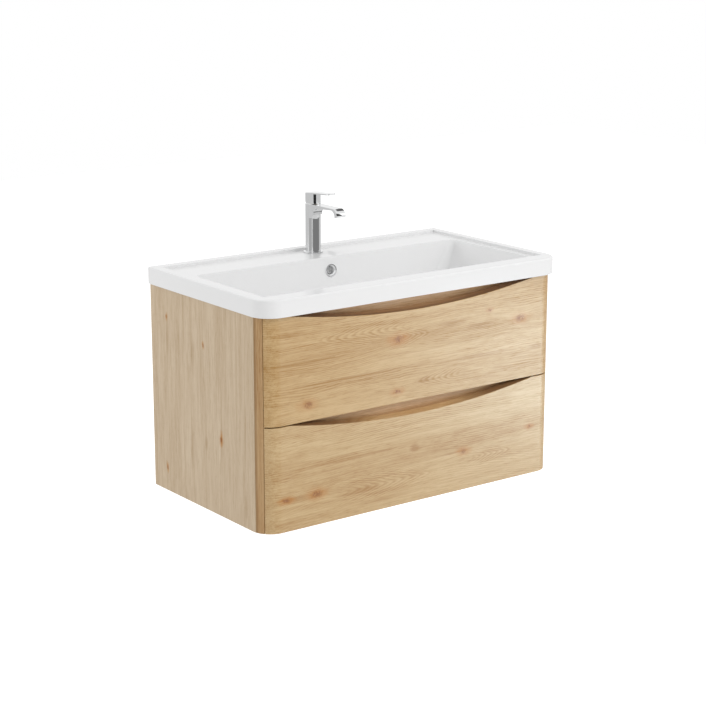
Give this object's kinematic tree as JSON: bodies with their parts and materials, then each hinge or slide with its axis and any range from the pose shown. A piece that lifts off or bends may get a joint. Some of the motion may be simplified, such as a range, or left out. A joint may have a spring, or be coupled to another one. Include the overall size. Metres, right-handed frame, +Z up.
{
  "type": "wall-hung vanity cabinet",
  "caption": "Wall-hung oak vanity with stacked drawers under a rectangular moulded basin and a single-lever mixer tap.",
  "frame": {"origin": "on the wall plane, in the middle of the four wall fixings", "axes": "+X along the wall to the right as seen from the front, +Y into the wall, +Z up; the drawer fronts face -Y"},
  "size_m": [0.9, 0.505, 0.7127],
  "materials": {
    "oak": "light oak laminate, satin, vertical grain on the sides and horizontal on the fronts",
    "rail_oak": "oak laminate, satin, in the shade behind the finger pulls",
    "basin_white": "white gel coat on cast mineral resin, gloss",
    "cover_plastic": "white moulded plastic",
    "chrome": "polished chrome plate",
    "zinc_steel": "zinc-plated steel",
    "brass": "plain brass",
    "rubber": "black rubber",
    "cartridge_plastic": "dark engineering plastic",
    "drawer_board": "white melamine-faced board"
  },
  "bodies": {
    "cabinet": {"side_panel_left": "oak", "side_panel_right": "oak", "corner_post_left": "oak", "corner_post_right": "oak", "bottom_panel": "oak", "rear_top_rail": "rail_oak", "rear_bottom_rail": "rail_oak", "front_top_rail": "rail_oak", "middle_rail": "rail_oak", "bumpers": "rubber", "wall_plate_left": "zinc_steel", "wall_plate_right": "zinc_steel", "hanger_left": "zinc_steel", "hanger_right": "zinc_steel", "hanger_covers": "cover_plastic", "basin": "basin_white", "overflow_ring": "chrome", "waste_body": "chrome", "waste_seal": "rubber", "waste_nut": "brass", "click_barrel": "brass", "tap_body": "chrome", "tap_base_ring": "chrome", "tap_stud": "zinc_steel", "tap_clamp_washer": "zinc_steel", "tap_stud_nut": "brass", "outlet_insert": "cartridge_plastic", "cartridge": "cartridge_plastic", "cartridge_nut": "brass", "upper_runner_left_fixed": "zinc_steel", "upper_runner_right_fixed": "zinc_steel", "lower_runner_left_fixed": "zinc_steel", "lower_runner_right_fixed": "zinc_steel"},
    "upper_drawer": {"upper_front": "oak", "upper_inner_front": "drawer_board", "upper_side_left": "drawer_board", "upper_side_right": "drawer_board", "upper_back": "drawer_board", "upper_base": "drawer_board", "trap_surround": "drawer_board", "upper_runner_left_moving": "zinc_steel", "upper_runner_right_moving": "zinc_steel"},
    "upper_runner_middle": {"upper_runner_left_middle": "zinc_steel", "upper_runner_right_middle": "zinc_steel"},
    "lower_drawer": {"lower_front": "oak", "lower_inner_front": "drawer_board", "lower_side_left": "drawer_board", "lower_side_right": "drawer_board", "lower_back": "drawer_board", "lower_base": "drawer_board", "lower_runner_left_moving": "zinc_steel", "lower_runner_right_moving": "zinc_steel"},
    "lower_runner_middle": {"lower_runner_left_middle": "zinc_steel", "lower_runner_right_middle": "zinc_steel"},
    "plug": {"waste_plug": "chrome"},
    "mixer": {"cartridge_rotor": "cartridge_plastic"},
    "lever": {"lever_stem": "zinc_steel", "handle": "chrome", "handle_screw": "zinc_steel"}
  },
  "joints": [
    {"name": "upper_drawer_slide", "type": "slide", "parent": "cabinet", "child": "upper_drawer", "axis": [0, -1, 0], "range_m": [0, 0.38]},
    {"name": "upper_runner_slide", "type": "slide", "parent": "cabinet", "child": "upper_runner_middle", "axis": [0, -1, 0], "range_m": [0, 0.19]},
    {"name": "lower_drawer_slide", "type": "slide", "parent": "cabinet", "child": "lower_drawer", "axis": [0, -1, 0], "range_m": [0, 0.38]},
    {"name": "lower_runner_slide", "type": "slide", "parent": "cabinet", "child": "lower_runner_middle", "axis": [0, -1, 0], "range_m": [0, 0.19]},
    {"name": "waste_plug_slide", "type": "slide", "parent": "cabinet", "child": "plug", "axis": [0, 0, 1], "range_m": [0, 0.008]},
    {"name": "mixer_swivel", "type": "hinge", "parent": "cabinet", "child": "mixer", "pos_m": [0, -0.063, 0.2265], "axis": [0, 0, 1], "range_deg": [-40, 40]},
    {"name": "lever_lift", "type": "hinge", "parent": "mixer", "child": "lever", "pos_m": [0, -0.063, 0.2265], "axis": [-1, 0, 0], "range_deg": [0, 22]}
  ],
  "couplings": [
    {"joint": "upper_runner_slide", "follows": "upper_drawer_slide", "ratio": 0.5},
    {"joint": "lower_runner_slide", "follows": "lower_drawer_slide", "ratio": 0.5}
  ]
}
